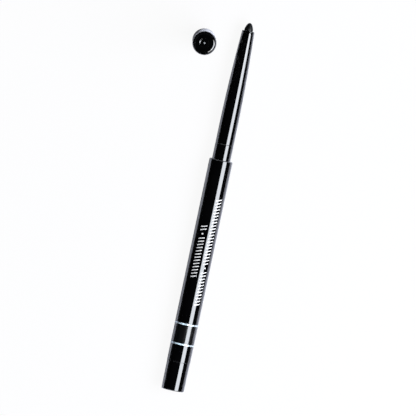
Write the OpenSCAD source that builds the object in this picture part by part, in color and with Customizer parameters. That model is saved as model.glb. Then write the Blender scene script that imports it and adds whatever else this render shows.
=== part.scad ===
// Twist-up eye pencil lying on its side, with its cap taken off and standing on its mouth beside it.
// Millimetres. The pencil's axis is the Y axis: the flat end face is at Y = 0 and the lead points to +Y.
// Turned pieces are drawn as a section of [radius, distance from the end face] and swung round the axis.

/* [Outside of the pencil] */
// Diameter of the barrel, the knob skirt and the cap
body_d = 8; // [8:0.1:9]
// Length of the pull-out end plug's head
plug_len = 9.9; // [8:0.1:14]
// Diameter of the plug's head at the flat end
plug_end_d = 7.75; // [7.4:0.05:7.8]
// Diameter of the plug's head at the seam with the knob
plug_seam_d = 7.86; // [7.6:0.02:8]
// Corner radius round the flat end
plug_round = 0.35; // [0.15:0.05:0.6]
// Length of the black knob skirt between the plug and the lower ring
skirt_len = 5.82; // [4:0.02:9]
// Width of each bright ring
ring_w = 0.6; // [0.5:0.05:1.2]
// How far the bright rings stand proud of the barrel
ring_proud = 0.04; // [0:0.01:0.1]
// Length of the satin band between the rings
band_len = 6.35; // [4:0.05:10]
// How far the satin band lies below the barrel's surface
band_sunk = 0.01; // [0:0.01:0.05]
// Length of the barrel
barrel_len = 56.47; // [50:0.01:80]
// Radius of the barrel's front edge
shoulder_round = 0.35; // [0.15:0.05:0.5]
// Radius on the outer edges of the bright rings
ring_round = 0.2; // [0.1:0.02:0.2]
// Small rounding on the edges at the seams
edge_round = 0.06; // [0.05:0.01:0.14]

/* [Neck, cone and lead] */
// Diameter of the neck that the cap closes on
neck_d = 6.3; // [6.1:0.05:6.5]
// Length of the neck in front of the barrel
neck_len = 5.4; // [5.3:0.1:8]
// Depth of the groove that the cone's seam makes, on each side of it
seam_bevel = 0.12; // [0.06:0.01:0.2]
// Diameter of the cone where it starts
cone_d = 6.28; // [6.2:0.02:6.3]
// Length of the cone
cone_len = 39.2; // [34:0.2:46]
// Length of the straight part behind the cone's curve
cone_straight = 5; // [4:0.1:12]
// Outer diameter of the cone's mouth
mouth_d = 4.2; // [4.1:0.05:4.8]
// Diameter of the lead
lead_d = 2.95; // [2.8:0.05:3.2]
// Length of lead that shows at rest
lead_out = 2.8; // [1.5:0.1:4]
// Length of the lead's rounded nose
nose_len = 2.1; // [1.2:0.1:2.4]
// Whole length of the lead
lead_len = 41.3; // [38:0.1:45]

/* [Twist mechanism] */
// Diameter of the knob's two chambers
chamber_d = 6.76; // [6.72:0.02:6.8]
// Diameter that the rings and the band are pushed onto
ring_seat_d = 7.5; // [7.4:0.02:7.5]
// Depth of the knob's front chamber, for the hub's flange
front_chamber = 1.95; // [1.5:0.05:2.4]
// Thickness of the rib between the knob's chambers
rib_t = 0.6; // [0.4:0.1:1]
// Opening in that rib
rib_d = 5; // [4:0.1:5.4]
// Diameter of the guide tube and the bush inside the barrel
tube_d = 5.9; // [5.85:0.01:5.95]
// Diameter of the hub's journal
journal_d = 5; // [4.8:0.05:5.2]
// Length of the bush that the journal turns in
bush_len = 9.65; // [8:0.1:14]
// Thickness of the thrust washer
washer_t = 0.25; // [0.15:0.05:0.3]
// Diameter of the screw spindle's core
screw_core_d = 2.1; // [1.9:0.05:2.2]
// Diameter over the screw spindle's thread
screw_d = 2.8; // [2.6:0.05:2.9]
// Distance that the lead moves in one turn of the knob
pitch = 4; // [3:0.5:5]
// Diameter of the screw spindle's tail, held in the hub
tail_d = 2.54; // [2.3:0.02:2.6]
// Thickness of the friction ring's cord
o_ring_t = 0.84; // [0.7:0.02:0.9]
// Thickness of the retaining ring
clip_t = 0.5; // [0.3:0.05:0.7]
// Outer diameter of the retaining ring
clip_d = 5.6; // [5.3:0.05:5.7]
// Bore of the guide tube and the back of the cone
guide_bore_d = 4.3; // [4.2:0.05:4.5]
// Distance from the barrel's back end to the guide tube
guide_start = 12.45; // [11:0.1:16]
// Bore in the guide tube's front end, for the cone's spigot
socket_d = 5.44; // [5.3:0.02:5.5]
// Depth of that bore behind the neck's front end
socket_len = 5; // [3:0.1:5.2]
// Width of the two guide slots
slot_w = 0.9; // [0.7:0.05:1.1]
// Diameter across the bottoms of the guide slots
slot_d = 5.3; // [5.1:0.05:5.5]
// Depth of the carrier's cup that grips the lead
cup_len = 5.5; // [4:0.5:7]
// Thickness of the floor of that cup
cup_floor = 1.1; // [0.8:0.1:1.6]
// Length of the carrier's tail behind the cup's floor
carrier_tail = 34.9; // [32:0.1:38]
// Length of the carrier's wings
wing_len = 5; // [3:0.5:7]
// Diameter of the peg that follows the thread
peg_d = 0.6; // [0.4:0.1:1]
// How far the lead draws back from rest
feed_back = 4; // [3:0.5:4]
// How far the lead feeds out from rest
feed_out = 14; // [8:0.5:14]

/* [Sharpener in the plug] */
// Wall of the plug's flat end
plug_floor = 1.6; // [1:0.1:3]
// Bore of the plug, which catches the shavings
plug_bore_d = 5.2; // [4.8:0.05:5.3]
// Length of the plug's stem inside the knob
stem_len = 2.3; // [1.5:0.1:4]
// Diameter of the sharpener's block
block_d = 5.8; // [5.6:0.05:5.9]
// Length of the sharpener's block
block_len = 8.2; // [7.5:0.1:8.4]
// Length of the block's spigot inside the plug
spigot_len = 2; // [1.2:0.1:2.2]
// Diameter of the cone hole's mouth
hole_d = 3.5; // [3.3:0.05:3.6]
// Diameter of the cone hole's inner end
hole_end_d = 0.6; // [0.4:0.05:0.8]
// How deep the cutting window opens the cone hole
window_depth = 0.25; // [0.15:0.05:0.35]
// Thickness of the blade
blade_t = 0.35; // [0.2:0.05:0.4]
// Width of the blade
blade_w = 2.25; // [2:0.05:2.3]
// Length of the blade
blade_len = 6.6; // [5:0.1:7]
// Diameter of the blade screw's shank
blade_screw_d = 0.9; // [0.7:0.05:1]
// Diameter of the blade screw's head
blade_screw_head_d = 1.5; // [1.3:0.05:1.6]
// Height of the blade screw's head
blade_screw_head_h = 0.4; // [0.3:0.05:0.5]
// Distance of the blade screw from the middle
blade_screw_x = 1.65; // [1.6:0.05:1.7]

/* [Cap] */
// Length of the cap
cap_len = 50; // [50:0.5:60]
// Radius round the cap's closed end
cap_round = 1.2; // [0.5:0.1:1.5]
// Thickness of the closed end
cap_end_t = 1; // [0.8:0.1:1.5]
// Length of the snug bore at the cap's mouth
cap_seat_len = 6.2; // [5:0.1:10]
// How much wider the cap's bore is behind that seat
cap_relief = 0.4; // [0.32:0.02:0.5]
// Diameter of the shallow dimple in the closed end
dimple_d = 3.3; // [2.4:0.1:4]
// Depth of that dimple
dimple_depth = 0.16; // [0.1:0.01:0.3]
// Width of the slope round the dimple
dimple_slope = 0.3; // [0.2:0.05:0.6]
// Diameter of the moulding nub in the dimple
nub_d = 0.6; // [0.4:0.1:1]
// Height of the moulding nub
nub_h = 0.12; // [0.05:0.01:0.15]
// Length of the sealing liner inside the cap
liner_len = 20.9; // [18:0.1:24]
// Wall of the liner at its closed end
liner_end_t = 0.6; // [0.4:0.1:0.8]
// Inner diameter of the liner's mouth
liner_mouth_d = 5.9; // [5.85:0.01:6.1]
// Inner diameter of the liner at its closed end
liner_end_d = 4.9; // [4.7:0.05:5.2]
// Distance from the pencil's axis to the standing cap's axis
cap_side = 14; // [9:0.1:30]
// Distance from the lead's tip back to the standing cap's axis
cap_back = 8.95; // [0:0.05:60]

/* [Clearances] */
// Radial gap of a glued or pressed seat
seat_gap = 0.03; // [0.01:0.01:0.04]
// Radial gap of a turning fit
run_gap = 0.05; // [0.02:0.01:0.1]
// Radial gap of the plug's stem in the knob
slide_gap = 0.025; // [0.01:0.005:0.05]
// Gap between end faces that turn on each other
face_gap = 0.1; // [0.05:0.01:0.12]
// Gap at the plug's seam
plug_gap = 0.06; // [0.02:0.01:0.1]
// Radial gap of the carrier and its wings in the guide
guide_gap = 0.1; // [0.05:0.01:0.12]
// Radial gap of the lead in the cone's mouth
lead_gap = 0.07; // [0.04:0.01:0.1]
// Radial gap between the cap's seat and the neck
cap_gap = 0.05; // [0.02:0.01:0.1]

/* [Hidden] */
$fn = 96;
overlap = 0.5;

body_r = body_d / 2;
neck_r = neck_d / 2;
tube_r = tube_d / 2;
cone_r = cone_d / 2;
mouth_r = mouth_d / 2;
lead_r = lead_d / 2;
ring_r = body_r + ring_proud;
band_r = body_r - band_sunk;
chamber_r = chamber_d / 2;
journal_r = journal_d / 2;
guide_bore_r = guide_bore_d / 2;

// Places along the pencil, from the flat end face towards the tip
knob_y = plug_len + plug_gap;
lower_ring_y = knob_y + skirt_len;
band_y = lower_ring_y + ring_w;
upper_ring_y = band_y + band_len;
knob_end_y = upper_ring_y + ring_w;
barrel_y = knob_end_y + face_gap;
shoulder_y = barrel_y + barrel_len;
cone_y = shoulder_y + neck_len;
mouth_y = cone_y + cone_len;
tip_y = mouth_y + lead_out;

// The hub, its bush and what holds it
flange_y = knob_end_y - front_chamber;
bush_y = barrel_y + face_gap;
washer_y = bush_y - face_gap - washer_t;
bush_end_y = bush_y + bush_len;
clip_y = bush_end_y + face_gap;
hub_end_y = clip_y + clip_t + 0.7;
o_ring_y = bush_y + 0.35 * bush_len;
o_ring_r = journal_r + run_gap - seat_gap - o_ring_t / 2;
o_groove_r = o_ring_r - o_ring_t / 2 - seat_gap;
o_groove_w = o_ring_t + 0.16;
clip_groove_r = journal_r - 0.35;

// The lead, its carrier and the screw that drives it
lead_back_y = tip_y - lead_len;
cup_floor_y = lead_back_y - cup_floor;
carrier_y = cup_floor_y - carrier_tail;
carrier_r = guide_bore_r - guide_gap;
wing_r = slot_d / 2 - guide_gap;
guide_y = barrel_y + guide_start;
slot_y = carrier_y - feed_back - 1;
slot_end_y = carrier_y + wing_len + feed_out + 1;
cone_bore_end_y = lead_back_y + cup_len + feed_out + 2.5;
cone_taper = 3;
screw_tail_y = flange_y + 1;
screw_end_y = cup_floor_y - feed_back - 1.3;
thread_y = hub_end_y + 0.6;
thread_len = screw_end_y - 0.5 - thread_y;
peg_y = carrier_y + peg_d / 2 + 1.2;

// The sharpener
plug_bore_r = plug_bore_d / 2;
stem_y = plug_len + stem_len;
block_end_y = stem_y + block_len;
hole_r = hole_d / 2;
hole_end_r = hole_end_d / 2;
hole_len = block_len - 0.2;
hole_angle = atan((hole_r - hole_end_r) / hole_len);
blade_front = 0.5;
window_len = blade_front + blade_len + 0.3;
blade_screw_y = block_end_y - blade_front - blade_len / 2;

// The standing cap
rest_z = -ring_r;
cap_seat_r = neck_r + cap_gap;
cap_bore_r = cap_seat_r + cap_relief / 2;
liner_r = cap_bore_r - seat_gap;
liner_z = cap_len - cap_end_t - liner_len;

// Points of an arc about a centre, from one angle to another
function arc(centre, radius, from, to, steps = 8) =
    [for (i = [0:steps]) centre + radius * [cos(from + (to - from) * i / steps),
        sin(from + (to - from) * i / steps)]];

// Radius of the cone's outside: straight at first, then one long curve down to the mouth
cone_drop = cone_r - mouth_r;
cone_curve = cone_len - cone_straight;
cone_bend_r = (cone_curve * cone_curve + cone_drop * cone_drop) / (2 * cone_drop);
function cone_radius(along) = cone_r - cone_bend_r
    + sqrt(cone_bend_r * cone_bend_r - along * along);

// Radius of the lead's nose at a distance behind its tip
function nose_radius(behind) = lead_r * pow(behind / nose_len, 0.43);

// Turns what it holds so that its Z axis runs along the pencil
module along_pencil() rotate([-90, 0, 0]) children();

module turned(section) along_pencil() rotate_extrude() polygon(section);

// A plain turned tube between two places on the pencil
module tube(outer_r, inner_r, from_y, to_y)
    turned([[inner_r, from_y], [outer_r, from_y], [outer_r, to_y], [inner_r, to_y]]);

// A turned rod between two places on the pencil
module rod(radius, from_y, to_y) along_pencil()
    translate([0, 0, from_y]) cylinder(r = radius, h = to_y - from_y);

module barrel() color("#0b0b0d")
    turned(concat(
        [[tube_r + seat_gap, barrel_y]],
        arc([body_r - edge_round, barrel_y + edge_round], edge_round, -90, 0, 4),
        arc([body_r - shoulder_round, shoulder_y - shoulder_round], shoulder_round, 0, 90),
        [[tube_r + seat_gap, shoulder_y]]));

// The neck is the front end of the tube that guides the carrier inside the barrel
module guide_tube() color("#0c0c0e")
    difference() {
        turned([[guide_bore_r, guide_y], [tube_r, guide_y], [tube_r, shoulder_y],
            [neck_r, shoulder_y], [neck_r, cone_y - seam_bevel], [neck_r - seam_bevel, cone_y],
            [socket_d / 2, cone_y], [socket_d / 2, cone_y - socket_len],
            [guide_bore_r, cone_y - socket_len]]);
        translate([-slot_d / 2, slot_y, -slot_w / 2])
            cube([slot_d, slot_end_y - slot_y, slot_w]);
    }

module front_cone() color("#0a0a0c")
    turned(concat(
        [[socket_d / 2 - seat_gap, cone_y - socket_len + seat_gap],
            [socket_d / 2 - seat_gap, cone_y],
            [cone_r - seam_bevel, cone_y],
            [cone_r, cone_y + seam_bevel]],
        [for (i = [0:12]) [cone_radius(cone_curve * i / 12.2),
            cone_y + cone_straight + cone_curve * i / 12.2]],
        arc([mouth_r - edge_round, mouth_y - edge_round], edge_round, 0, 90, 4),
        [[lead_r + lead_gap, mouth_y],
            [lead_r + lead_gap, cone_bore_end_y + cone_taper],
            [guide_bore_r, cone_bore_end_y],
            [guide_bore_r, cone_y - socket_len + seat_gap]]));

module rear_bush() color("#d8d8d2")
    tube(tube_r, journal_r + run_gap, bush_y, bush_end_y);

module twist_knob() color("#0b0b0d")
    turned(concat(
        [[chamber_r, knob_y]],
        arc([body_r - edge_round, knob_y + edge_round], edge_round, -90, 0, 4),
        [[body_r, lower_ring_y], [ring_seat_d / 2, lower_ring_y], [ring_seat_d / 2, knob_end_y],
            [chamber_r, knob_end_y], [chamber_r, flange_y], [rib_d / 2, flange_y],
            [rib_d / 2, flange_y - rib_t], [chamber_r, flange_y - rib_t]]));

// A bright ring with rounded outer edges, pushed onto the knob
module bright_ring(y) color("#c9cbd0")
    turned(concat(
        [[ring_seat_d / 2 + seat_gap, y]],
        arc([ring_r - ring_round, y + ring_round], ring_round, -90, 0),
        arc([ring_r - ring_round, y + ring_w - ring_round], ring_round, 0, 90),
        [[ring_seat_d / 2 + seat_gap, y + ring_w]]));

module lower_ring() bright_ring(lower_ring_y);

module shade_band() color("#17171a")
    tube(band_r, ring_seat_d / 2 + seat_gap, band_y, upper_ring_y);

module upper_ring() bright_ring(upper_ring_y);

// The flange sits in the knob, the journal turns in the bush and the bore holds the screw
module drive_hub() color("#d8d8d2")
    turned([[0, flange_y], [chamber_r - seat_gap, flange_y], [chamber_r - seat_gap, washer_y],
        [journal_r, washer_y],
        [journal_r, o_ring_y - o_groove_w / 2], [o_groove_r, o_ring_y - o_groove_w / 2],
        [o_groove_r, o_ring_y + o_groove_w / 2], [journal_r, o_ring_y + o_groove_w / 2],
        [journal_r, clip_y - seat_gap], [clip_groove_r, clip_y - seat_gap],
        [clip_groove_r, clip_y + clip_t + seat_gap], [journal_r, clip_y + clip_t + seat_gap],
        [journal_r, hub_end_y], [tail_d / 2 + seat_gap, hub_end_y],
        [tail_d / 2 + seat_gap, screw_tail_y], [0, screw_tail_y]]);

module thrust_washer() color("#ececea")
    tube(tube_r - seat_gap, journal_r + seat_gap, washer_y, washer_y + washer_t);

module friction_ring() color("#1a1a1a")
    along_pencil() translate([0, 0, o_ring_y]) rotate_extrude()
        translate([o_ring_r, 0]) circle(d = o_ring_t, $fn = 32);

// An open ring, sprung into the groove at the journal's front end
module retaining_ring() color("#b9bcc0")
    difference() {
        tube(clip_d / 2, clip_groove_r + seat_gap, clip_y, clip_y + clip_t);
        translate([0, clip_y - overlap, -journal_r / 5])
            cube([clip_d, clip_t + 2 * overlap, 0.4 * journal_r]);
    }

// Coarse left-hand thread: a turn to the right, seen from the flat end, feeds the lead out
module screw_spindle() color("#e6e6e2") {
    crest = screw_d / 2;
    root = screw_core_d / 2 - 0.05;
    start_angle = 180 + 360 * (peg_y - thread_y) / pitch;
    rod(tail_d / 2, screw_tail_y + seat_gap, hub_end_y);
    rod(screw_core_d / 2, hub_end_y, screw_end_y);
    along_pencil() translate([0, 0, thread_y]) rotate([0, 0, start_angle])
        linear_extrude(height = thread_len, twist = 360 * thread_len / pitch,
            slices = ceil(thread_len / pitch * 16), $fn = 6)
            polygon([root * [cos(40), -sin(40)], crest * [cos(22), -sin(22)], [crest, 0],
                crest * [cos(22), sin(22)], root * [cos(40), sin(40)], [root * cos(40), 0]]);
}

module lead() color("#1c1c1e")
    turned(concat(
        [[0, lead_back_y], [lead_r, lead_back_y]],
        [for (i = [12:-1:1]) let (behind = nose_len * pow(i / 12, 2)) [nose_radius(behind),
            tip_y - behind]],
        [[0, tip_y]]));

// A cup for the lead's back end, a hollow tail over the screw, two wings and a peg in the thread
module lead_carrier() color("#e6e6e2") {
    bore_r = screw_d / 2 + guide_gap;
    cup_r = lead_r + seat_gap;
    turned([[bore_r, carrier_y], [carrier_r, carrier_y], [carrier_r, lead_back_y + cup_len],
        [cup_r, lead_back_y + cup_len], [cup_r, lead_back_y], [0, lead_back_y],
        [0, cup_floor_y], [bore_r, cup_floor_y]]);
    intersection() {
        translate([-wing_r, carrier_y, guide_gap - slot_w / 2])
            cube([2 * wing_r, wing_len, slot_w - 2 * guide_gap]);
        tube(wing_r, carrier_r - guide_gap, carrier_y, carrier_y + wing_len);
    }
    translate([screw_core_d / 2 + guide_gap, peg_y, 0]) rotate([0, 90, 0])
        cylinder(d = peg_d, h = carrier_r - guide_gap - screw_core_d / 2 - guide_gap);
}

// The visible head, a stem that slides in the knob and a hollow for shavings
module sharpener_plug() color("#0b0b0d")
    turned(concat(
        [[0, 0]],
        arc([plug_end_d / 2 - plug_round, plug_round], plug_round, -90, 0),
        arc([plug_seam_d / 2 - edge_round, plug_len - edge_round], edge_round, 0, 90, 4),
        [[chamber_r - slide_gap, plug_len], [chamber_r - slide_gap, stem_y],
            [plug_bore_r, stem_y], [plug_bore_r, plug_floor], [0, plug_floor]]));

// Places what it holds on the sloping face that the blade lies on, with Z out of that face
module on_window() translate([0, block_end_y, hole_r - window_depth])
    rotate([hole_angle, 0, 0]) children();

module sharpener_block() color("#26262a")
    difference() {
        union() {
            rod(block_d / 2, stem_y, block_end_y);
            rod(plug_bore_r - seat_gap, stem_y - spigot_len, stem_y);
        }
        turned([[0, stem_y - spigot_len - overlap], [hole_end_r, stem_y - spigot_len - overlap],
            [hole_end_r, block_end_y - hole_len], [hole_r, block_end_y],
            [hole_r, block_end_y + overlap], [0, block_end_y + overlap]]);
        on_window() translate([-block_d, -window_len, 0])
            cube([2 * block_d, window_len + block_d, block_d]);
        on_window() translate([blade_screw_x, blade_screw_y - block_end_y, -blade_t - overlap])
            cylinder(d = blade_screw_d, h = block_d);
    }

module sharpener_blade() color("#c4c7cb")
    on_window() difference() {
        translate([0, -blade_front - blade_len, 0]) cube([blade_w, blade_len, blade_t]);
        translate([blade_screw_x, blade_screw_y - block_end_y, -overlap])
            cylinder(r = blade_screw_d / 2 + seat_gap, h = blade_t + 2 * overlap);
    }

module blade_screw() color("#b9bcc0")
    on_window() translate([blade_screw_x, blade_screw_y - block_end_y, 0]) {
        translate([0, 0, -blade_t - overlap]) cylinder(d = blade_screw_d, h = 2 * blade_t + overlap);
        difference() {
            translate([0, 0, blade_t]) cylinder(d = blade_screw_head_d, h = blade_screw_head_h);
            translate([-blade_screw_d, -0.1, blade_t + blade_screw_head_h / 2])
                cube([2 * blade_screw_d, 0.2, blade_screw_head_h]);
        }
    }

// Places what it holds where the cap stands, with Z = 0 at its mouth
module standing_cap() translate([-cap_side, tip_y - cap_back, rest_z]) children();

// A tube with a rounded closed end; in that end is a dimple with a low dome, the moulding nub
module cap() color("#09090b") {
    dimple_r = dimple_d / 2;
    dimple_z = cap_len - dimple_depth;
    nub_r = nub_d / 2;
    dome_r = (nub_r * nub_r + nub_h * nub_h) / (2 * nub_h);
    standing_cap() rotate_extrude() polygon(concat(
        [[cap_seat_r, 0]],
        arc([body_r - edge_round, edge_round], edge_round, -90, 0, 4),
        arc([body_r - cap_round, cap_len - cap_round], cap_round, 0, 90, 12),
        [[dimple_r, cap_len], [dimple_r - dimple_slope, dimple_z]],
        arc([0, dimple_z + nub_h - dome_r], dome_r, acos(nub_r / dome_r), 90, 6),
        [[0, cap_len - cap_end_t], [cap_bore_r, cap_len - cap_end_t],
            [cap_bore_r, cap_seat_len + cap_relief], [cap_seat_r, cap_seat_len]]));
}

module cap_liner() color("#dcdcd8")
    standing_cap() rotate_extrude() polygon([
        [liner_mouth_d / 2, liner_z], [liner_r, liner_z], [liner_r, cap_len - cap_end_t],
        [0, cap_len - cap_end_t], [0, cap_len - cap_end_t - liner_end_t],
        [liner_end_d / 2, cap_len - cap_end_t - liner_end_t]]);

barrel();
guide_tube();
front_cone();
rear_bush();
twist_knob();
lower_ring();
shade_band();
upper_ring();
drive_hub();
thrust_washer();
friction_ring();
retaining_ring();
screw_spindle();
lead();
lead_carrier();
sharpener_plug();
sharpener_block();
sharpener_blade();
blade_screw();
cap();
cap_liner();
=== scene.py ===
import math

import bmesh
import bpy
from mathutils import Matrix, Vector


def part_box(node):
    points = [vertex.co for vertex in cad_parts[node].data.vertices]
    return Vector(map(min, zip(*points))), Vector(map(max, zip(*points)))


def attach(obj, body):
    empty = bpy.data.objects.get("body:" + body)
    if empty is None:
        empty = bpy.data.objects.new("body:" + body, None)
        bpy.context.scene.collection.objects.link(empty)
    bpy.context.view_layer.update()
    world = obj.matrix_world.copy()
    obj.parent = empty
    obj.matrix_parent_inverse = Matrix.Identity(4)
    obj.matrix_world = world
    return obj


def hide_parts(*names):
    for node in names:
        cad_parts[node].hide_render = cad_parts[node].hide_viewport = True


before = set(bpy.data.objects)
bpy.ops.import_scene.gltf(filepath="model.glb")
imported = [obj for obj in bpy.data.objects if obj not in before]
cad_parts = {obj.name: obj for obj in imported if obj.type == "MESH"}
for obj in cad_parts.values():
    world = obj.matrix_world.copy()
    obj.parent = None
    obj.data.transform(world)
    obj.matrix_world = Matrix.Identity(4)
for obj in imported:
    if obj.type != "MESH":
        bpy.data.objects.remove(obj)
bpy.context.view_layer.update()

MM = 0.001
MICRON = 0.000001

# Outside of the pencil in millimetres, as in the CAD source
BODY_R = 4.0
SHOULDER_ROUND = 0.35
EDGE_ROUND = 0.06
BAND_R = 3.99
BAND_BREAK = 0.04
RING_R = 4.04
RING_ROUND = 0.2
NECK_R = 3.15
SEAM_BEVEL = 0.12
CONE_R = 3.14
CONE_STRAIGHT = 5.0
MOUTH_R = 2.1
LEAD_R = 1.475
LEAD_BREAK = 0.05
NOSE_LEN = 2.1
NOSE_POWER = 0.43
PLUG_END_R = 3.875
PLUG_SEAM_R = 3.93
PLUG_ROUND = 0.35

# Inside of the pencil
RING_SEAT_R = 3.75
CHAMBER_R = 3.38
RIB_R = 2.5
RIB_T = 0.6
TUBE_R = 2.95
SOCKET_R = 2.72
GUIDE_BORE_R = 2.15
SLOT_SPAN = 5.3
SLOT_WIDTH = 0.9
SLOT_PLAY = 1.0
WING_LEN = 5.0
CUP_LEN = 5.5
FEED_BACK = 4.0
FEED_OUT = 14.0
CONE_BORE_PLAY = 2.5
CONE_TAPER = 3.0
PLUG_BORE_R = 2.6
PLUG_FLOOR = 1.6
STEM_LEN = 2.3

# The cap and its liner
CAP_LEN = 50.0
CAP_ROUND = 1.2
CAP_END_T = 1.0
CAP_SEAT_R = 3.2
CAP_SEAT_LEN = 6.2
CAP_BORE_R = 3.4
CAP_RELIEF = 0.4
DIMPLE_R = 1.65
DIMPLE_DEPTH = 0.16
DIMPLE_SLOPE = 0.3
DIMPLE_EASE = 0.01
NUB_R = 0.3
NUB_H = 0.12
LINER_MOUTH_R = 2.95
LINER_END_R = 2.45
LINER_END_T = 0.6

# Clearances
SEAT_GAP = 0.03
SLIDE_GAP = 0.025
PLUG_GAP = 0.06
LEAD_GAP = 0.07

# The white marks on the barrel: slanted bars in two rows, each row with one dot
BAR_PITCH = 1.1
BAR_LEAN = 0.3
DOT_R = 0.3
INK_SUNK = 0.01
INK_PROUD = 0.012
# For each row its degrees from the top of the barrel, the height and width of its bars, where its
# first group of bars starts and how many there are, where its dot is, and its second group
MARK_ROWS = (
    (33, 2.05, 0.36, (30.3, 11), 42.9, (44.4, 21)),
    (-16, 2.1, 0.33, (39.6, 13), 54.3, (55.8, 2)),
)

# Steps of the meshes
ROUND_STEPS = 192
CURVE_STEPS = 40
SHANK_STEPS = 20
NOSE_STEPS = 36
# Extra rings of the cone in millimetres, in front of the seam and behind the mouth
STRAIGHT_RINGS = (0.3, 2.0, 4.0)
MOUTH_RING = 1.5
# A point with a smaller radius than this counts as on the axis
ON_AXIS = 1e-6


def span(node):
    """The lowest and highest place of a CAD node along the pencil, in millimetres."""
    low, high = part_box(node)
    return low.y / MM, high.y / MM


# Profiles in millimetres

def arc(centre, radius, start, end, steps):
    """Points on an arc about a centre, from one angle in degrees to another."""
    points = []
    for i in range(steps + 1):
        angle = math.radians(start + (end - start) * i / steps)
        points.append((centre[0] + radius * math.cos(angle), centre[1] + radius * math.sin(angle)))
    return points


def rounded(corners, steps):
    """Turns corners (across, along, radius) of a section into points with round corners."""
    points = []
    count = len(corners)
    for i, (across, along, radius) in enumerate(corners):
        if radius == 0:
            points.append((across, along))
            continue
        here = Vector((across, along))
        before = Vector(corners[i - 1][:2])
        after = Vector(corners[(i + 1) % count][:2])
        back = (before - here).normalized()
        on = (after - here).normalized()
        half = back.angle(on) / 2
        reach = radius / math.tan(half)
        centre = here + (back + on).normalized() * (radius / math.sin(half))
        first = here + back * reach - centre
        last = here + on * reach - centre
        turn = math.atan2(first.x * last.y - first.y * last.x, first.dot(last))
        start = math.atan2(first.y, first.x)
        for k in range(steps + 1):
            angle = start + turn * k / steps
            points.append((centre.x + radius * math.cos(angle), centre.y + radius * math.sin(angle)))
    return points


def evened(points, longest=2.5, support=0.12, closed=True):
    """Splits long straight runs, with a short first and last step so that shading stays true."""
    out = []
    count = len(points)
    for i in range(count):
        a = Vector(points[i])
        b = Vector(points[(i + 1) % count])
        out.append(tuple(points[i]))
        length = (b - a).length
        if length <= 3 * support or (a.x < ON_AXIS and b.x < ON_AXIS):
            continue
        if i == count - 1 and not closed:
            continue
        inner = length - 2 * support
        parts = max(1, math.ceil(inner / longest))
        for k in range(parts + 1):
            out.append(tuple(a + (b - a) * ((support + inner * k / parts) / length)))
    return out


# Meshes

def shade_smooth(mesh, sharp):
    """Smooth shading, with edges over an angle in degrees kept sharp."""
    mesh.polygons.foreach_set("use_smooth", [True] * len(mesh.polygons))
    mesh.set_sharp_from_angle(angle=math.radians(sharp))


def new_piece(name, bm, sharp):
    """Makes an object of a closed bmesh and links it."""
    bmesh.ops.recalc_face_normals(bm, faces=bm.faces)
    mesh = bpy.data.meshes.new(name)
    bm.to_mesh(mesh)
    bm.free()
    shade_smooth(mesh, sharp)
    piece = bpy.data.objects.new(name, mesh)
    bpy.context.scene.collection.objects.link(piece)
    return piece


def place(across, along, angle, upright, centre):
    """Where a point of a turned body lies, in metres."""
    x = across * math.cos(angle)
    y = across * math.sin(angle)
    if upright:
        point = (centre[0] + x, centre[1] + y, centre[2] + along)
    else:
        point = (centre[0] + x, centre[1] + along, centre[2] + y)
    return Vector(point) * MM


def turned(name, points, segments=160, upright=False, centre=(0.0, 0.0, 0.0), sharp=34):
    """A closed body turned from a closed section of (radius, along) points in millimetres."""
    bm = bmesh.new()
    rings = []
    for across, along in points:
        count = 1 if across < ON_AXIS else segments
        angles = [2 * math.pi * k / segments for k in range(count)]
        rings.append([bm.verts.new(place(across, along, angle, upright, centre)) for angle in angles])
    for a, b in zip(rings, rings[1:] + rings[:1]):
        if len(a) == 1 and len(b) == 1:
            continue
        for k in range(segments):
            n = (k + 1) % segments
            if len(a) == 1:
                bm.faces.new((a[0], b[n], b[k]))
            elif len(b) == 1:
                bm.faces.new((a[k], a[n], b[0]))
            else:
                bm.faces.new((a[k], a[n], b[n], b[k]))
    return new_piece(name, bm, sharp)


# Material nodes

def new_material(name):
    """A material with one shader, ready for its colour, roughness and bumps."""
    material = bpy.data.materials.new(name)
    material.use_nodes = True
    tree = material.node_tree
    tree.nodes.clear()
    output = tree.nodes.new("ShaderNodeOutputMaterial")
    shader = tree.nodes.new("ShaderNodeBsdfPrincipled")
    tree.links.new(shader.outputs["BSDF"], output.inputs["Surface"])
    return material, tree, shader


def object_space(tree, scale=(1, 1, 1)):
    """The object's own coordinates. A small scale along an axis draws a texture out along it."""
    coordinates = tree.nodes.new("ShaderNodeTexCoord")
    mapping = tree.nodes.new("ShaderNodeMapping")
    mapping.inputs["Scale"].default_value = scale
    tree.links.new(coordinates.outputs["Object"], mapping.inputs["Vector"])
    return mapping.outputs["Vector"]


def noise(tree, vector, scale, detail, roughness):
    """A noise with a number of lumps to the metre, along each axis of the coordinates."""
    node = tree.nodes.new("ShaderNodeTexNoise")
    node.inputs["Scale"].default_value = scale
    node.inputs["Detail"].default_value = detail
    node.inputs["Roughness"].default_value = roughness
    tree.links.new(vector, node.inputs["Vector"])
    return node.outputs["Fac"]


def ranged(tree, value, low, high):
    """Spreads the middle of a noise, from 0.3 to 0.7, over a range."""
    node = tree.nodes.new("ShaderNodeMapRange")
    node.inputs["From Min"].default_value = 0.3
    node.inputs["From Max"].default_value = 0.7
    node.inputs["To Min"].default_value = low
    node.inputs["To Max"].default_value = high
    tree.links.new(value, node.inputs["Value"])
    return node.outputs["Result"]


def coloured(tree, shader, value, first, second):
    """Base colour between two colours, by a noise."""
    node = tree.nodes.new("ShaderNodeMix")
    node.data_type = "RGBA"
    node.inputs["A"].default_value = (*first, 1)
    node.inputs["B"].default_value = (*second, 1)
    tree.links.new(ranged(tree, value, 0, 1), node.inputs["Factor"])
    tree.links.new(node.outputs["Result"], shader.inputs["Base Color"])


def roughened(tree, shader, value, low, high):
    """Roughness between two values, by a noise."""
    tree.links.new(ranged(tree, value, low, high), shader.inputs["Roughness"])


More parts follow.
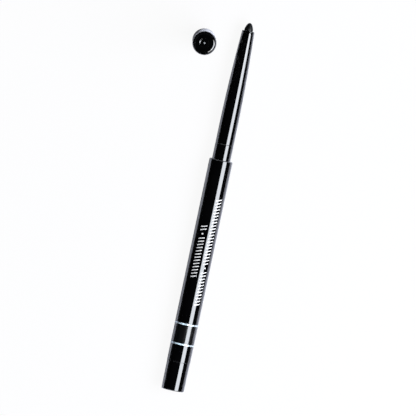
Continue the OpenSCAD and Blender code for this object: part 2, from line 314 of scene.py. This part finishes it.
def bumped(tree, shader, value, microns, strength=1.0):
    """Adds a bump of a depth in microns, over any bump that the shader has already."""
    node = tree.nodes.new("ShaderNodeBump")
    node.inputs["Strength"].default_value = strength
    node.inputs["Distance"].default_value = microns * MICRON
    tree.links.new(value, node.inputs["Height"])
    normal = shader.inputs["Normal"]
    if normal.is_linked:
        tree.links.new(normal.links[0].from_socket, node.inputs["Normal"])
    tree.links.new(node.outputs["Normal"], normal)


def lacquered(shader, ior, roughness):
    """A clear coat over the whole surface."""
    shader.inputs["Coat Weight"].default_value = 1.0
    shader.inputs["Coat Roughness"].default_value = roughness
    shader.inputs["Coat IOR"].default_value = ior


# Materials

def gloss_black():
    """Polished black plastic under clear lacquer, with faint rub marks in its roughness."""
    material, tree, shader = new_material("gloss_black")
    space = object_space(tree)
    blotches = noise(tree, space, 160, 4, 0.6)
    hairlines = noise(tree, object_space(tree, (1, 0.05, 1)), 5200, 2, 0.5)
    coloured(tree, shader, blotches, (0.0008, 0.0008, 0.001), (0.0016, 0.0016, 0.002))
    roughened(tree, shader, hairlines, 0.035, 0.06)
    shader.inputs["IOR"].default_value = 1.5
    lacquered(shader, 1.57, 0.03)
    bumped(tree, shader, noise(tree, space, 420, 2, 0.4), 0.6)
    return material


def satin_black():
    """Matt sleeve under a dense lacquer: a soft sheen round a sharp reflection."""
    material, tree, shader = new_material("satin_black")
    grain = noise(tree, object_space(tree), 9000, 3, 0.6)
    coloured(tree, shader, grain, (0.001, 0.001, 0.0011), (0.002, 0.002, 0.0021))
    roughened(tree, shader, grain, 0.27, 0.35)
    shader.inputs["IOR"].default_value = 1.4
    lacquered(shader, 1.7, 0.04)
    bumped(tree, shader, grain, 4, 0.6)
    return material


def bright_ring():
    """Polished aluminium with fine turning lines round the ring."""
    material, tree, shader = new_material("bright_ring")
    lines = noise(tree, object_space(tree, (0.02, 1, 0.02)), 26000, 2, 0.6)
    coloured(tree, shader, lines, (0.76, 0.88, 0.96), (0.86, 0.95, 0.99))
    roughened(tree, shader, lines, 0.28, 0.4)
    shader.inputs["Metallic"].default_value = 0.7
    bumped(tree, shader, lines, 1.5, 0.7)
    return material


def lead_wax():
    """Dense black cosmetic wax, moulded satin with a fine grain."""
    material, tree, shader = new_material("lead_wax")
    grain = noise(tree, object_space(tree), 7000, 5, 0.65)
    drag = noise(tree, object_space(tree, (1, 0.12, 1)), 2600, 3, 0.6)
    coloured(tree, shader, grain, (0.0008, 0.0008, 0.0009), (0.0022, 0.0022, 0.0023))
    roughened(tree, shader, drag, 0.36, 0.46)
    shader.inputs["IOR"].default_value = 1.45
    bumped(tree, shader, drag, 6, 0.5)
    bumped(tree, shader, grain, 8, 0.6)
    return material


def moulded(name, low, high, rough, grain_scale=5000, microns=4, subsurface=0.0):
    """Bare moulded plastic, rubber or felt with a fine even texture."""
    material, tree, shader = new_material(name)
    space = object_space(tree)
    grain = noise(tree, space, grain_scale, 4, 0.6)
    cloud = noise(tree, space, 260, 3, 0.5)
    coloured(tree, shader, cloud, low, high)
    roughened(tree, shader, grain, rough - 0.05, rough + 0.06)
    if subsurface:
        shader.inputs["Subsurface Weight"].default_value = subsurface
        shader.inputs["Subsurface Radius"].default_value = (0.6, 0.6, 0.5)
        shader.inputs["Subsurface Scale"].default_value = 0.5 * MM
    bumped(tree, shader, grain, microns, 0.6)
    return material


def ground_steel():
    """Hardened steel with the marks of the grinding wheel across it."""
    material, tree, shader = new_material("ground_steel")
    lines = noise(tree, object_space(tree, (0.03, 1, 0.03)), 14000, 3, 0.7)
    cloud = noise(tree, object_space(tree), 700, 3, 0.5)
    coloured(tree, shader, cloud, (0.52, 0.53, 0.55), (0.66, 0.67, 0.69))
    roughened(tree, shader, lines, 0.22, 0.38)
    shader.inputs["Metallic"].default_value = 1.0
    bumped(tree, shader, lines, 2, 0.8)
    return material


def white_ink():
    """Screen-printed white ink, slightly uneven in cover."""
    material, tree, shader = new_material("white_ink")
    cover = noise(tree, object_space(tree), 6000, 4, 0.6)
    coloured(tree, shader, cover, (0.86, 0.86, 0.86), (0.95, 0.95, 0.95))
    roughened(tree, shader, cover, 0.32, 0.45)
    bumped(tree, shader, cover, 3, 0.5)
    return material


GLOSS = gloss_black()
SATIN = satin_black()
RING = bright_ring()
WAX = lead_wax()
STEEL = ground_steel()
INK = white_ink()
WHITE = moulded("white_plastic", (0.74, 0.74, 0.71), (0.82, 0.82, 0.79), 0.38, subsurface=0.15)
LINER = moulded("liner_plastic", (0.7, 0.7, 0.68), (0.8, 0.8, 0.78), 0.45, subsurface=0.2)
# Pale grey for the moulding nub: a painted highlight that stands in for the bright dot at the middle
# of the cap's end
NUB_PAINTED_HIGHLIGHT = moulded("nub_painted_highlight", (0.3, 0.32, 0.34), (0.38, 0.4, 0.42), 0.42)
DARK = moulded("dark_plastic", (0.017, 0.017, 0.019), (0.024, 0.024, 0.026), 0.4, 7000)
RUBBER = moulded("seal_rubber", (0.012, 0.012, 0.012), (0.02, 0.02, 0.02), 0.6, 8000, 8)
FELT = moulded("flag_felt", (0.001, 0.001, 0.001), (0.002, 0.002, 0.002), 0.9)


def dress(piece, material, body, slot, *nodes):
    """Gives a piece its material, the body it rides on and the CAD nodes it stands for."""
    piece.data.materials.clear()
    piece.data.materials.append(material)
    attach(piece, body)
    if nodes:
        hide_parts(*nodes)
    return piece


# Pieces of the pencil and its cap

def make_barrel():
    """A lacquered tube with a tight rear edge and a softer shoulder."""
    low, high = span("barrel")
    section = rounded([
        (TUBE_R + SEAT_GAP, low, 0),
        (BODY_R, low, EDGE_ROUND),
        (BODY_R, high, SHOULDER_ROUND),
        (TUBE_R + SEAT_GAP, high, 0),
    ], 10)
    piece = turned("barrel_shell", evened(section), ROUND_STEPS)
    return dress(piece, GLOSS, "pencil", "gloss_black", "barrel")


def make_front_cone():
    """Straight at first, then one long curve down to the mouth, with a stepped bore."""
    low, high = span("front_cone")
    seam_y = span("guide_tube")[1]
    curve_start = seam_y + CONE_STRAIGHT
    curve_len = high - curve_start
    drop = CONE_R - MOUTH_R
    bend_r = (curve_len ** 2 + drop ** 2) / (2 * drop)
    bore_r = LEAD_R + LEAD_GAP
    bore_end = span("lead")[0] + CUP_LEN + FEED_OUT + CONE_BORE_PLAY
    points = [(SOCKET_R - SEAT_GAP, low), (SOCKET_R - SEAT_GAP, seam_y)]
    points += arc((CONE_R - SEAM_BEVEL, seam_y + SEAM_BEVEL), SEAM_BEVEL, -90, 0, 6)
    points += [(CONE_R, seam_y + along) for along in STRAIGHT_RINGS]
    for step in range(CURVE_STEPS + 1):
        along = (curve_len - EDGE_ROUND) * step / CURVE_STEPS
        points.append((CONE_R - bend_r + math.sqrt(bend_r ** 2 - along ** 2), curve_start + along))
    points += arc((MOUTH_R - EDGE_ROUND, high - EDGE_ROUND), EDGE_ROUND, 8, 90, 8)
    points += [
        (bore_r + EDGE_ROUND, high),
        (bore_r, high - EDGE_ROUND),
        (bore_r, high - MOUTH_RING),
        (bore_r, bore_end + CONE_TAPER),
        (GUIDE_BORE_R, bore_end),
        (GUIDE_BORE_R, low),
    ]
    piece = turned("cone_shell", points, ROUND_STEPS)
    return dress(piece, GLOSS, "pencil", "gloss_black", "front_cone")


def make_lead():
    """A moulded stick with a blunt round nose."""
    low, high = span("lead")
    shank_low = low + LEAD_BREAK
    shank_len = high - NOSE_LEN - shank_low
    points = [(0, low), (LEAD_R - LEAD_BREAK, low), (LEAD_R, shank_low)]
    for step in range(1, SHANK_STEPS):
        points.append((LEAD_R, shank_low + shank_len * step / SHANK_STEPS))
    for step in range(NOSE_STEPS + 1):
        behind = NOSE_LEN * (1 - step / NOSE_STEPS) ** 2
        points.append((LEAD_R * (behind / NOSE_LEN) ** NOSE_POWER, high - behind))
    piece = turned("lead_stick", points, segments=128, sharp=50)
    return dress(piece, WAX, "feed", "lead_wax", "lead")


def make_ring(node):
    """A bright ring with round outer edges, a little proud of the barrel."""
    low, high = span(node)
    section = rounded([
        (RING_SEAT_R + SEAT_GAP, low, 0),
        (RING_R, low, RING_ROUND),
        (RING_R, high, RING_ROUND),
        (RING_SEAT_R + SEAT_GAP, high, 0),
    ], 12)
    piece = turned(node + "_turned", evened(section, support=0.04), ROUND_STEPS)
    return dress(piece, RING, "knob", "bright_ring", node)


def make_shade_band():
    """The satin sleeve between the rings."""
    low, high = span("shade_band")
    section = rounded([
        (RING_SEAT_R + SEAT_GAP, low, 0),
        (BAND_R, low, BAND_BREAK),
        (BAND_R, high, BAND_BREAK),
        (RING_SEAT_R + SEAT_GAP, high, 0),
    ], 4)
    piece = turned("band_sleeve", evened(section), ROUND_STEPS)
    return dress(piece, SATIN, "knob", "satin_black", "shade_band")


def make_twist_knob():
    """The skirt below the rings, the rings' seat and the rib that the hub stops on."""
    low, high = span("twist_knob")
    ring_low = span("lower_ring")[0]
    flange_y = span("drive_hub")[0]
    section = rounded([
        (CHAMBER_R, low, 0),
        (BODY_R, low, EDGE_ROUND),
        (BODY_R, ring_low, 0),
        (RING_SEAT_R, ring_low, 0),
        (RING_SEAT_R, high, 0),
        (CHAMBER_R, high, 0),
        (CHAMBER_R, flange_y, 0),
        (RIB_R, flange_y, 0),
        (RIB_R, flange_y - RIB_T, 0),
        (CHAMBER_R, flange_y - RIB_T, 0),
    ], 10)
    piece = turned("knob_shell", evened(section), ROUND_STEPS)
    return dress(piece, GLOSS, "knob", "gloss_black", "twist_knob")


def make_sharpener_plug():
    """The end piece, hollow for shavings, with a stem that slides in the knob."""
    plug_len = span("twist_knob")[0] - PLUG_GAP
    stem_end = plug_len + STEM_LEN
    section = rounded([
        (PLUG_END_R, 0, PLUG_ROUND),
        (PLUG_SEAM_R, plug_len, EDGE_ROUND),
        (CHAMBER_R - SLIDE_GAP, plug_len, 0),
        (CHAMBER_R - SLIDE_GAP, stem_end, 0.08),
        (PLUG_BORE_R, stem_end, 0),
        (PLUG_BORE_R, PLUG_FLOOR, 0.3),
        (0, PLUG_FLOOR, 0),
        (0, 0, 0),
    ], 12)
    piece = turned("plug_shell", evened(section), ROUND_STEPS)
    return dress(piece, GLOSS, "sharpener", "gloss_black", "sharpener_plug")


def make_guide_tube():
    """The neck in front of the barrel, and inside it the slot for the carrier's wings."""
    low, high = span("guide_tube")
    shoulder_y = span("barrel")[1]
    socket_low = span("front_cone")[0] - SEAT_GAP
    section = rounded([
        (GUIDE_BORE_R, low, 0),
        (TUBE_R, low, 0.1),
        (TUBE_R, shoulder_y, 0),
        (NECK_R, shoulder_y, 0),
        (NECK_R, high, SEAM_BEVEL),
        (SOCKET_R, high, 0),
        (SOCKET_R, socket_low, 0),
        (GUIDE_BORE_R, socket_low, 0),
    ], 8)
    piece = turned("guide_shell", evened(section, longest=3.0))
    carrier_low = span("lead_carrier")[0]
    slot_low = carrier_low - FEED_BACK - SLOT_PLAY
    slot_high = carrier_low + WING_LEN + FEED_OUT + SLOT_PLAY
    bpy.ops.mesh.primitive_cube_add(size=1, location=Vector((0, (slot_low + slot_high) / 2, 0)) * MM)
    cutter = bpy.context.object
    cutter.scale = Vector((SLOT_SPAN, slot_high - slot_low, SLOT_WIDTH)) * MM
    cut = piece.modifiers.new("slot", "BOOLEAN")
    cut.operation = "DIFFERENCE"
    cut.object = cutter
    bpy.context.view_layer.objects.active = piece
    bpy.ops.object.modifier_apply(modifier="slot")
    bpy.data.objects.remove(cutter)
    return dress(piece, GLOSS, "pencil", "gloss_black", "guide_tube")


# The cap stands on its mouth beside the pencil
cap_low, cap_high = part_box("cap")
cap_centre = ((cap_low.x + cap_high.x) / 2 / MM, (cap_low.y + cap_high.y) / 2 / MM, cap_low.z / MM)
dimple_floor = CAP_LEN - DIMPLE_DEPTH


def make_cap():
    """A tube with a closed, rounded end, and in that end a shallow dimple with soft edges."""
    end = CAP_LEN - CAP_END_T
    outside = rounded([
        (CAP_SEAT_R, 0, 0),
        (BODY_R, 0, EDGE_ROUND),
        (BODY_R, CAP_LEN, CAP_ROUND),
        (DIMPLE_R - DIMPLE_EASE, CAP_LEN, 0.1),
        (DIMPLE_R - DIMPLE_SLOPE + DIMPLE_EASE, dimple_floor, 0.12),
        (0, dimple_floor, 0),
        (0, end, 0),
    ], 24)
    inside = [
        (CAP_BORE_R, end),
        (CAP_BORE_R, CAP_SEAT_LEN + CAP_RELIEF),
        (CAP_SEAT_R, CAP_SEAT_LEN),
        (CAP_SEAT_R, 0.2),
    ]
    points = evened(outside, closed=False) + evened(inside, closed=False)
    piece = turned("cap_shell", points, ROUND_STEPS, upright=True, centre=cap_centre, sharp=20)
    return dress(piece, GLOSS, "pencil", "gloss_black", "cap")


def make_moulding_nub():
    """The low dome in the dimple, where the mould was filled. Its pale grey is a painted highlight
    for the bright dot at the middle of the cap's end.
    """
    dome_r = (NUB_R ** 2 + NUB_H ** 2) / (2 * NUB_H)
    dome_angle = math.degrees(math.asin(NUB_R / dome_r))
    points = [(0, dimple_floor - 0.1), (NUB_R, dimple_floor - 0.1), (NUB_R, dimple_floor)]
    points += arc((0, dimple_floor + NUB_H - dome_r), dome_r, 90 - dome_angle, 90, 10)[1:-1]
    points.append((0, dimple_floor + NUB_H))
    piece = turned("moulding_nub", points, segments=48, upright=True, centre=cap_centre)
    return dress(piece, NUB_PAINTED_HIGHLIGHT, "pencil", "white_plastic")


def make_cap_liner():
    """The soft inner cap that seals on the cone."""
    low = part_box("cap_liner")[0].z / MM - cap_centre[2]
    end = CAP_LEN - CAP_END_T
    section = rounded([
        (LINER_MOUTH_R, low, 0.08),
        (CAP_BORE_R - SEAT_GAP, low, 0.08),
        (CAP_BORE_R - SEAT_GAP, end, 0),
        (0, end, 0),
        (0, end - LINER_END_T, 0),
        (LINER_END_R, end - LINER_END_T, 0.3),
    ], 6)
    piece = turned("liner_shell", evened(section), segments=96, upright=True, centre=cap_centre)
    return dress(piece, LINER, "pencil", "liner_plastic", "cap_liner")


def dress_node(name, material):
    """A node that keeps its CAD mesh gets its material and a fine break on its edges."""
    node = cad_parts[name]
    node.data.materials.clear()
    node.data.materials.append(material)
    shade_smooth(node.data, 30)
    edge = node.modifiers.new("edge", "BEVEL")
    edge.width = 0.04 * MM
    edge.segments = 2
    edge.limit_method = "ANGLE"
    edge.angle_limit = math.radians(40)


# The white marks

def mark_prism(bm, left, right):
    """A thin closed plate on the barrel between two edges of (angle in degrees, along) points."""
    outline = left + right[::-1]
    rows = []
    for radius in (BODY_R - INK_SUNK, BODY_R + INK_PROUD):
        row = []
        for angle, along in outline:
            a = math.radians(angle)
            row.append(bm.verts.new(Vector((radius * math.sin(a), along, radius * math.cos(a))) * MM))
        rows.append(row)
    count = len(outline)
    for k in range(count):
        n = (k + 1) % count
        bm.faces.new((rows[0][k], rows[0][n], rows[1][n], rows[1][k]))
    for row in rows:
        for k in range(len(left) - 1):
            bm.faces.new((row[k], row[k + 1], row[count - 2 - k], row[count - 1 - k]))


def bar(bm, middle, along, height, width, steps=10):
    """A slanted bar across its row."""
    left = []
    right = []
    for k in range(steps + 1):
        share = k / steps - 0.5
        angle = middle + math.degrees(height * share / BODY_R)
        shift = BAR_LEAN * share * height
        left.append((angle, along - width / 2 + shift))
        right.append((angle, along + width / 2 + shift))
    mark_prism(bm, left, right)


def dot(bm, middle, along, steps=12):
    """A round dot in the middle of its row."""
    left = []
    right = []
    for k in range(steps + 1):
        turn = math.pi * k / steps
        angle = middle + math.degrees(-DOT_R * math.cos(turn) / BODY_R)
        reach = max(DOT_R * math.sin(turn), 0.01)
        left.append((angle, along - reach))
        right.append((angle, along + reach))
    mark_prism(bm, left, right)


def make_marks():
    """Rows of plain slanted bars and dots in white ink, wrapped on the barrel."""
    bm = bmesh.new()
    for middle, height, width, before, dot_y, after in MARK_ROWS:
        for start, count in (before, after):
            for k in range(count):
                bar(bm, middle, start + BAR_PITCH * k, height, width)
        dot(bm, middle, dot_y)
    return dress(new_piece("marks", bm, 40), INK, "pencil", "white_plastic")


barrel = make_barrel()
cone = make_front_cone()
lead = make_lead()
rings = [make_ring("lower_ring"), make_ring("upper_ring")]
band = make_shade_band()
knob = make_twist_knob()
plug = make_sharpener_plug()
guide = make_guide_tube()
make_cap()
make_moulding_nub()
make_cap_liner()
for name in ("rear_bush", "drive_hub", "thrust_washer", "screw_spindle", "lead_carrier"):
    dress_node(name, WHITE)
for name in ("retaining_ring", "sharpener_blade", "blade_screw"):
    dress_node(name, STEEL)
dress_node("friction_ring", RUBBER)
dress_node("sharpener_block", DARK)
marks = make_marks()

# Studio: floor, flags, room, lights and camera
scene = bpy.context.scene
scene.view_settings.view_transform = "Standard"
floor_z = cap_low.z
# Share of the floor that is plain white to the camera, and to reflections
FLOOR_WHITE = 0.93
FLOOR_WHITE_GLOSS = 0.01


def make_floor():
    """Pale paper that takes shadows, and looks close to white to the camera."""
    bpy.ops.mesh.primitive_plane_add(size=24, location=(0, 0.06, floor_z))
    floor = bpy.context.object
    floor.name = "floor"
    material = bpy.data.materials.new("floor_paper")
    material.use_nodes = True
    tree = material.node_tree
    tree.nodes.clear()
    output = tree.nodes.new("ShaderNodeOutputMaterial")
    paper = tree.nodes.new("ShaderNodeBsdfDiffuse")
    paper.inputs["Color"].default_value = (0.79, 0.8, 0.89, 1)
    white = tree.nodes.new("ShaderNodeEmission")
    white.inputs["Color"].default_value = (1, 1, 1, 1)
    white.inputs["Strength"].default_value = 1.0
    path = tree.nodes.new("ShaderNodeLightPath")
    seen = tree.nodes.new("ShaderNodeMath")
    seen.operation = "MULTIPLY"
    seen.inputs[1].default_value = FLOOR_WHITE
    tree.links.new(path.outputs["Is Camera Ray"], seen.inputs[0])
    share = tree.nodes.new("ShaderNodeMath")
    share.operation = "MULTIPLY_ADD"
    share.inputs[1].default_value = FLOOR_WHITE_GLOSS
    tree.links.new(path.outputs["Is Glossy Ray"], share.inputs[0])
    tree.links.new(seen.outputs[0], share.inputs[2])
    blend = tree.nodes.new("ShaderNodeMixShader")
    tree.links.new(share.outputs[0], blend.inputs["Fac"])
    tree.links.new(paper.outputs["BSDF"], blend.inputs[1])
    tree.links.new(white.outputs["Emission"], blend.inputs[2])
    tree.links.new(blend.outputs["Shader"], output.inputs["Surface"])
    floor.data.materials.append(material)


# Black flags close to the pencil and round the cap's end, seen only in reflections, that keep the
# far floor and the cap's wall out of the gloss. For each flag its middle, with the height above the
# floor, and its size, both in millimetres, and its turn about Z in degrees
FLAGS = {
    "flag_left": ((-25.1, 64, 4), (0.5, 262, 8), 6.3),
    "flag_right": ((28, 64, 4.5), (0.5, 260, 9), 0),
    "flag_nose": ((-3, 130.3, 11.5), (14, 0.05, 15), 0),
    "flag_lead": ((-5, 128.2, 3), (0.05, 7, 6), 0),
    "flag_between": ((-5.2, 116, 10), (6.6, 26, 0.05), 0),
    "flag_cap_left": ((-20.2, 118.35, 56.25), (0.05, 12.4, 15.5), 0),
    "flag_cap_front": ((-15.05, 112.15, 56.25), (10.3, 0.05, 15.5), 0),
    "flag_cap_back": ((-13.9, 124.55, 56.25), (12.6, 0.05, 15.5), 0),
}


def make_flag(name, middle, extent, turn):
    """A black board that the camera, shadows and diffuse light miss."""
    centre = Vector(middle) * MM
    centre.z += floor_z
    bpy.ops.mesh.primitive_cube_add(size=1, location=centre)
    flag = bpy.context.object
    flag.name = name
    flag.scale = Vector(extent) * MM
    flag.rotation_euler = (0, 0, math.radians(turn))
    flag.data.materials.append(FELT)
    flag.visible_camera = False
    flag.visible_shadow = False
    flag.visible_diffuse = False


def make_world():
    """A dark room that looks white to the camera."""
    world = bpy.data.worlds.new("studio")
    scene.world = world
    world.use_nodes = True
    tree = world.node_tree
    tree.nodes.clear()
    output = tree.nodes.new("ShaderNodeOutputWorld")
    room = tree.nodes.new("ShaderNodeBackground")
    room.inputs["Color"].default_value = (1, 1, 1, 1)
    room.inputs["Strength"].default_value = 0.003
    white = tree.nodes.new("ShaderNodeBackground")
    white.inputs["Color"].default_value = (1, 1, 1, 1)
    white.inputs["Strength"].default_value = 1.0
    path = tree.nodes.new("ShaderNodeLightPath")
    blend = tree.nodes.new("ShaderNodeMixShader")
    tree.links.new(path.outputs["Is Camera Ray"], blend.inputs["Fac"])
    tree.links.new(room.outputs["Background"], blend.inputs[1])
    tree.links.new(white.outputs["Background"], blend.inputs[2])
    tree.links.new(blend.outputs["Shader"], output.inputs["Surface"])


def standing(where, side, up, out):
    """The matrix of a lamp or camera at a place, with its own X, Y and Z axes given."""
    return Matrix.Translation(where) @ Matrix((side, up, out)).transposed().to_4x4()


def softbox(name, zenith, azimuth, distance, size, radiance, tint=(1, 1, 1), aim_y=0.06, roll=0,
    targets=()):
    """A rectangular studio light that faces the pencil's axis.

    Zenith is its angle from straight up. Azimuth 0 is towards +X and 90 towards +Y. Roll turns it
    about its own axis. A light with targets shows only in the gloss of those pieces.
    """
    z = math.radians(zenith)
    a = math.radians(azimuth)
    out = Vector((math.sin(z) * math.cos(a), math.sin(z) * math.sin(a), math.cos(z)))
    up = Vector((math.cos(z) * math.cos(a), math.cos(z) * math.sin(a), -math.sin(z)))
    wide, high = size
    data = bpy.data.lights.new(name, "AREA")
    data.shape = "RECTANGLE"
    data.size = wide
    data.size_y = high
    data.energy = radiance * math.pi * wide * high
    data.color = tint
    light = bpy.data.objects.new(name, data)
    facing = standing(Vector((0, aim_y, 0)) + out * distance, up.cross(out), up, out)
    light.matrix_world = facing @ Matrix.Rotation(math.radians(roll), 4, "Z")
    light.visible_camera = False
    if targets:
        light.visible_diffuse = False
        lit = bpy.data.collections.new(name + "_targets")
        for piece in targets:
            lit.objects.link(piece)
        light.light_linking.receiver_collection = lit
    scene.collection.objects.link(light)


# Cards in pairs, one towards the pencil's end and one towards its tip: a pair on the left that
# lights only the rings, and a pair on each side for the pencil's outside, which spares the cap
PALE_BLUE = (0.85, 0.93, 1.0)
pencil_pieces = rings + [barrel, cone, lead, band, knob, plug, guide, marks]
CARDS = (
    ("ring", 54, 120, (0.85, 0.42), 4.0, (0.68, 0.87, 1.0), rings),
    ("right", 58, 48, (0.6, 0.4), 3.0, PALE_BLUE, pencil_pieces),
    ("left", 54, 120, (0.85, 0.42), 1.2, PALE_BLUE, pencil_pieces),
)


def make_lights():
    """The key that draws the long white strip, a box on either side of it, cards and a weak fill."""
    softbox("key_strip", 40.8, 0, 0.761, (0.47, 0.453), 9.0, (0.9, 0.94, 1.0), aim_y=0.035, roll=-22)
    softbox("end_box", 38, -48, 0.8, (0.4, 0.32), 6.0)
    softbox("tip_box", 38, 24, 0.8, (0.2, 0.32), 2.6)
    softbox("end_card", 76, -92, 0.9, (0.9, 0.3), 1.6)
    softbox("tip_card", 76, 92, 0.9, (0.9, 0.3), 1.6)
    for name, zenith, azimuth, size, radiance, tint, targets in CARDS:
        softbox(name + "_end", zenith, -azimuth, 0.8, size, radiance, tint, targets=targets)
        softbox(name + "_tip", zenith, azimuth, 0.8, size, radiance, tint, targets=targets)
    data = bpy.data.lights.new("fill_sun", "SUN")
    data.energy = 0.25
    data.angle = math.radians(32)
    sun = bpy.data.objects.new("fill_sun", data)
    sun.rotation_euler = (math.radians(-12), math.radians(32), 0)
    sun.visible_glossy = False
    scene.collection.objects.link(sun)


# The photograph's frame: its width in pixels, the millimetres that a pixel spans on the pencil's
# axis, the point in its middle in millimetres, and how far the pencil leans from upright in it
IMAGE_WIDTH = 416
PIXEL = 0.339
VIEW_MIDDLE = (-1.005, 63.03, 0)
VIEW_LEAN = 11.92
# Where the camera is from that point, in metres: above it, and towards the picture's top and left
CAMERA_HEIGHT = 2.0
CAMERA_TOPWARD = 0.0954
CAMERA_LEFT = 0.004
SENSOR_WIDTH = 36


def make_camera():
    """Looks down on the pencil, tilted less than three degrees from the tip's side."""
    lean = math.radians(VIEW_LEAN)
    right = Vector((math.cos(lean), math.sin(lean), 0))
    up = Vector((-math.sin(lean), math.cos(lean), 0))
    target = Vector(VIEW_MIDDLE) * MM
    eye = target + up * CAMERA_TOPWARD - right * CAMERA_LEFT + Vector((0, 0, CAMERA_HEIGHT))
    back = (eye - target).normalized()
    side = up.cross(back).normalized()
    data = bpy.data.cameras.new("camera")
    data.lens = SENSOR_WIDTH * (eye - target).length / (IMAGE_WIDTH * PIXEL * MM)
    data.clip_start = 0.1
    data.clip_end = 60
    camera = bpy.data.objects.new("camera", data)
    camera.matrix_world = standing(eye, side, back.cross(side), back)
    scene.collection.objects.link(camera)
    scene.camera = camera


make_floor()
for name, (middle, extent, turn) in FLAGS.items():
    make_flag(name, middle, extent, turn)
make_world()
make_lights()
make_camera()
